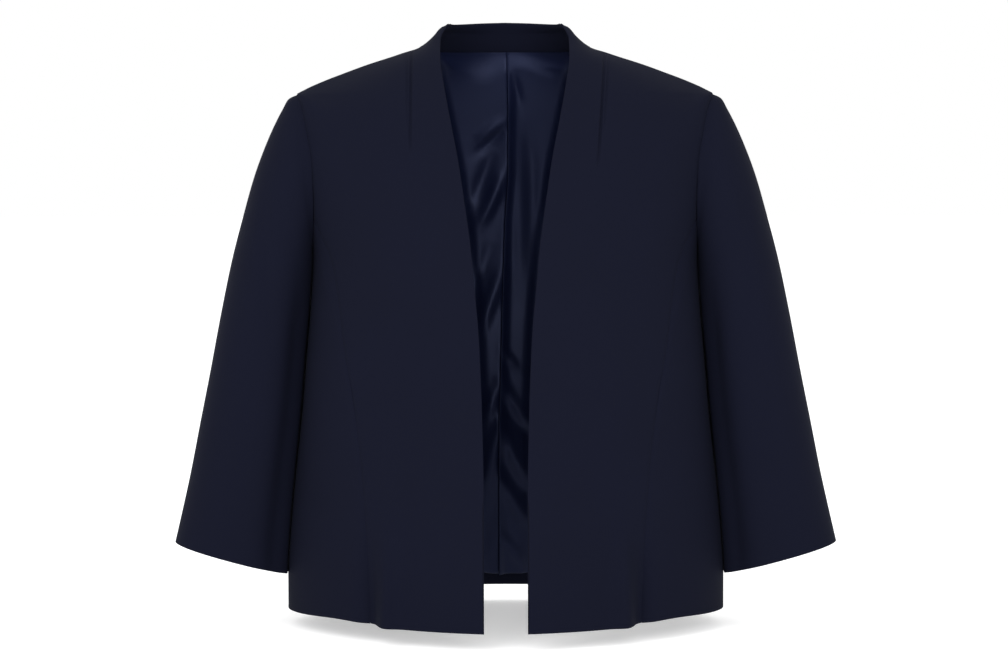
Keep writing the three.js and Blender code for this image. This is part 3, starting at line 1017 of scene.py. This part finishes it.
@dataclass
class BackLining:
    """Half of the satin back lining. The two halves meet in the pleat at the centre."""

    side: Side
    columns: int = 90
    upper: int = 60
    lower: int = 125
    cut: Cut = Cut(0.29, 0.56, 0.136)
    creases: tuple[Crease, ...] = (
        Crease(-1, -62, -30, -84, 1.8, 5),
        Crease(-2, -74, -30, -98, -1.8, 5),
        Crease(-2, -116, -27, -172, 3.4, 6, 2),
        Crease(-12, -96, -34, -150, -2.0, 7),
        Crease(-3, -218, -25, -282, 2.6, 6),
        Crease(-14, -190, -38, -262, -1.8, 8),
        Crease(-9, -340, -22, -382, 2.4, 5),
        Crease(-9, -375, -21, -447, 2.6, 6, 2),
        Crease(-8, -450, -26, -520, -2.0, 8),
        Crease(8, -16, 15, -46, -1.6, 4),
        Crease(38, -7, 68, -10, 1.2, 3),
        Crease(26, -80, 27, -220, -1.2, 7, 3),
        Crease(13, -70, 15, -230, 1.2, 7),
        Crease(-1, -305, 11, -322, 2.0, 4),
        Crease(-4, -335, 26, -384, 3.2, 6, -2),
        Crease(-6, -370, 26, -450, 3.4, 7, -3),
        Crease(4, -352, 34, -416, -2.4, 7),
        Crease(-6, -433, 26, -490, 3.0, 6, -2),
        Crease(4, -420, 34, -470, -2.2, 7),
        Crease(-6, -495, 20, -532, 2.4, 5),
        Crease(60, -120, 80, -300, -2.4, 14),
        Crease(-70, -140, -60, -330, -2.6, 13),
        Crease(100, -240, 90, -480, 2.4, 16),
        Crease(-104, -220, -98, -470, 2.2, 16),
        Crease(140, -300, 130, -520, -2.2, 16),
        Crease(-142, -280, -138, -510, -2.4, 15),
    )
    depth: float = 1.35
    clearance: float = 0.4
    turnup_step: float = 30.0
    slack: float = 1.5
    fullness: float = 3.6
    full_inside: float = 7.0
    full_outside: float = 2.0
    ease: Wave = Wave(26.0, 10.0, 13.0, 2.0)
    pleat: Swell = Swell(0, 5, 5.0)
    pleat_under: Swell = Swell(0, 5, 0.4)
    pleat_full_z: float = -70.0
    wander_reach: float = 60.0

    def build(self, wardrobe: Wardrobe) -> None:
        """Makes and dresses the half."""
        grid = half_back(self.columns, self.upper, self.lower)
        rows = grid.points[:, -1, 2] >= LINING_BOTTOM_Z
        grid = Grid(grid.points[rows], grid.normals[rows])
        z = grid.points[..., 2]
        middle = self.side.value * PLEAT_LINE.at("x", z) * bump(grid.points[..., 0], self.wander_reach)
        x = np.maximum(grid.points[..., 0] + middle, middle + SEAM / 2)
        grid = Body.panel(x, z, Facing.BACK).eased(ARMHOLE_TOP_Z, BACK_EASING)
        over = smooth(-z, -TURNUP_TOP_Z - self.turnup_step, -TURNUP_TOP_Z)
        under = UNDER_SHELL + self.clearance + (UNDER_TURNUP - UNDER_SHELL) * over
        creases = self.depth * sum(crease.lift(self.side.value * x, z) for crease in self.creases)
        calm = smooth(from_top(grid) / self.ease.at(self.side.value * x), 0, 1)
        loose = np.maximum(creases + self._slack(x, z), 0) * calm
        lift = back_folds(self.side, x, z) - under - loose - self._pleat(x - middle, z)
        shaped = grid.raised(lift).with_own_normals().mirrored(self.side)
        cloth = Cloth(f"lining_{self.side.word}_cloth", SATIN, (Edge.START, Edge.BOTTOM))
        wardrobe.sew(cloth, shaped, LINING_SATIN, ["neck_facing", "hem_turnup"])

    def _slack(self, x: np.ndarray, z: np.ndarray) -> np.ndarray:
        """How far the satin stands off the back, most between the front edges, where it shows."""
        edge = LINING_EDGE.at("x", z)
        return self.slack + self.fullness * (1 - smooth(x, edge - self.full_inside, edge + self.full_outside))

    def _pleat(self, from_middle: np.ndarray, z: np.ndarray) -> np.ndarray:
        """Height of the fold at the centre: the left half stands over the right."""
        fold = self.pleat if self.side is Side.LEFT else self.pleat_under
        return fold.at(from_middle) * smooth(-z, 0, -self.pleat_full_z)


@dataclass
class Sleeve:
    """One sleeve: a tube from the armhole to the cuff that stays just clear of the body."""

    side: Side
    around: int = 120
    rows: int = 156
    top_dip: float = 0.2
    grooves: tuple[Swell, ...] = (Swell(138, 15, -5.0), Swell(222, 15, -5.0))
    groove_start: float = 30.0
    groove_full: float = 110.0
    cut: Cut = Cut(0.40, 0.48, 0.142)
    folds: tuple[Crease, ...] = (
        Crease(60, 70, 96, 150, -1.4, 14),
        Crease(96, 200, 84, 380, -1.2, 20),
        Crease(250, 120, 262, 260, -2.0, 18),
        Crease(282, 230, 270, 420, 1.8, 20),
    )

    @staticmethod
    def _rounded(value: np.ndarray) -> np.ndarray:
        """Sine or cosine of an angle, squared up to the sleeve's section."""
        return np.sign(value) * np.abs(value) ** (2 / SLEEVE_POWER)

    def section(self, row: np.ndarray, angle: np.ndarray) -> np.ndarray:
        """Points of the sleeve's plain sections. The angle runs from the outer point round the front."""
        size = {name: SLEEVE.at(name, row) for name in SLEEVE.values}
        in_x = BODY.at("width", size["in_z"]) + SLEEVE_CLEARANCE - SLEEVE_WRAP * (1 - size["share"])
        out = (1 + self._rounded(np.cos(angle))) / 2
        sweep = self._rounded(np.sin(angle))
        return np.stack([
            in_x + (size["out_x"] - in_x) * out,
            size["middle"] - sweep * np.where(sweep > 0, size["front"], size["back"]),
            size["in_z"] + (size["out_z"] - size["in_z"]) * out + size["rise"] * np.maximum(sweep, 0),
        ], axis=-1)

    def grid(self) -> Grid:
        """The sleeve's outside on the wearer's left."""
        turn = np.linspace(0, 2, self.around, endpoint=False)
        angle = np.pi * turn
        z = Body.armhole_level(turn)
        x = ARMHOLE.at("x", z)
        y = np.where(turn <= 1, -Body.depth(x, z, Facing.FRONT), Body.depth(x, z, Facing.BACK))
        loop = np.stack([x + SLEEVE_SEAM, y, z], axis=-1)
        row = np.linspace(0, SLEEVE.keys[-1], self.rows + 1)[:, None]
        share = SLEEVE.at("share", row)
        points = self.section(row, angle[None, :])
        points = points + (loop - self.section(np.zeros((1, 1)), angle[None, :])) * share[..., None]
        gap = SLEEVE_CLEARANCE + (SLEEVE_SEAM - SLEEVE_CLEARANCE) * share
        clear = Body.width(points[..., 1], points[..., 2]) + gap
        points[1:, :, 0] = np.maximum(points[1:, :, 0], clear[1:])
        axis = points.mean(axis=1, keepdims=True)
        return Grid(points, unit(points - axis), closed=True).with_own_normals()

    def build(self, wardrobe: Wardrobe) -> None:
        """Makes and dresses the sleeve."""
        grid = self.grid()
        angle = np.degrees(np.linspace(0, 2 * np.pi, self.around, endpoint=False))[None, :]
        down = from_top(grid)
        folds = sum(fold.lift(angle, down) for fold in self.folds)
        grooves = sum(groove.at(angle) for groove in self.grooves)
        share = smooth(down, self.groove_start, self.groove_full)
        lift = folds + grooves * share + seam_dip(down, self.top_dip)
        shaped = grid.raised(lift).with_own_normals().mirrored(self.side)
        cloth = Cloth(f"sleeve_{self.side.word}_cloth", SHELL, (Edge.BOTTOM,))
        wardrobe.sew(cloth, shaped, CREPE, [f"front_{self.side.word}", "back"])


@dataclass(frozen=True)
class Lamp:
    """A large square light: where it stands, what it faces, its width in metres and its power in watts."""

    name: str
    place: tuple[float, float, float]
    target: tuple[float, float, float]
    size: float
    power: float

    def build(self) -> None:
        """Makes the light."""
        data = bpy.data.lights.new(self.name, "AREA")
        data.size = self.size
        data.energy = self.power
        light = bpy.data.objects.new(self.name, data)
        light.location = self.place
        towards = Vector(self.target) - Vector(self.place)
        light.rotation_euler = towards.to_track_quat("-Z", "Y").to_euler()
        bpy.context.scene.collection.objects.link(light)


@dataclass
class Studio:
    """A pale floor, soft lights and the camera at the photograph's viewing angle, in metres and degrees.

    The focal length and the frame's width are in the photograph's pixels.
    """

    distance: float = 2.4
    aside: float = -0.001
    eye_level: float = -0.130
    pitch: float = 3.62
    roll: float = 0.12
    focal: float = 2410.0
    frame_width: float = 1008.0
    reach: float = 50.0
    floor_level: float = -0.572
    floor_half: float = 30.0
    floor_grey: float = 0.85
    floor_glow: float = 0.42
    lamps: tuple[Lamp, ...] = (
        Lamp("key", (-1.3, -2.2, 1.5), (0, 0, -0.3), 1.8, 36),
        Lamp("fill", (0.5, -2.5, 0.35), (0, 0, -0.2), 1.6, 34),
        Lamp("top", (0.0, 0.4, 2.2), (0, 0, -0.2), 2.2, 14),
    )

    def build(self) -> None:
        """Makes the camera, the floor, the world and the lights."""
        self._camera()
        self._floor()
        self._world()
        for lamp in self.lamps:
            lamp.build()

    def _camera(self) -> None:
        """Makes the camera."""
        data = bpy.data.cameras.new("camera")
        data.sensor_fit = "HORIZONTAL"
        data.lens = self.focal / self.frame_width * data.sensor_width
        data.clip_end = self.reach
        camera = bpy.data.objects.new("camera", data)
        camera.location = (self.aside, -self.distance, self.eye_level)
        camera.rotation_euler = (math.radians(90 - self.pitch), math.radians(self.roll), 0)
        bpy.context.scene.collection.objects.link(camera)
        bpy.context.scene.camera = camera

    def _floor(self) -> None:
        """Makes the floor, a plain pale plane."""
        half = self.floor_half
        mesh = bpy.data.meshes.new("floor")
        corners = [(-half, -half), (half, -half), (half, half), (-half, half)]
        mesh.from_pydata([(x, y, self.floor_level) for x, y in corners], [], [(0, 1, 2, 3)])
        floor = bpy.data.objects.new("floor", mesh)
        bpy.context.scene.collection.objects.link(floor)
        material = bpy.data.materials.new("Floor")
        material.use_nodes = True
        shader = material.node_tree.nodes["Principled BSDF"]
        shader.inputs["Base Color"].default_value = (*[self.floor_grey] * 3, 1)
        shader.inputs["Emission Color"].default_value = (1, 1, 1, 1)
        shader.inputs["Emission Strength"].default_value = self.floor_glow
        shader.inputs["Roughness"].default_value = 1.0
        shader.inputs["Specular IOR Level"].default_value = 0.0
        mesh.materials.append(material)

    def _world(self) -> None:
        """Makes the even white surroundings."""
        world = bpy.data.worlds.new("studio")
        world.use_nodes = True
        background = world.node_tree.nodes["Background"]
        background.inputs["Color"].default_value = (1, 1, 1, 1)
        background.inputs["Strength"].default_value = 1.0
        bpy.context.scene.world = world
        bpy.context.scene.view_settings.view_transform = "Standard"


def main() -> None:
    """Builds the studio and every piece of the blazer."""
    logging.basicConfig(level=logging.INFO, format="%(name)s: %(message)s")
    Studio().build()
    yarn = yarn_group()
    wardrobe = Wardrobe({finish: finish.build(yarn) for finish in (CREPE, LINING_SATIN)})
    for side in Side:
        CentreFront(side).build(wardrobe)
        SideFront(side).build(wardrobe)
        BackLining(side).build(wardrobe)
        Sleeve(side).build(wardrobe)
    Back().build(wardrobe)


if __name__ == "__main__":
    main()
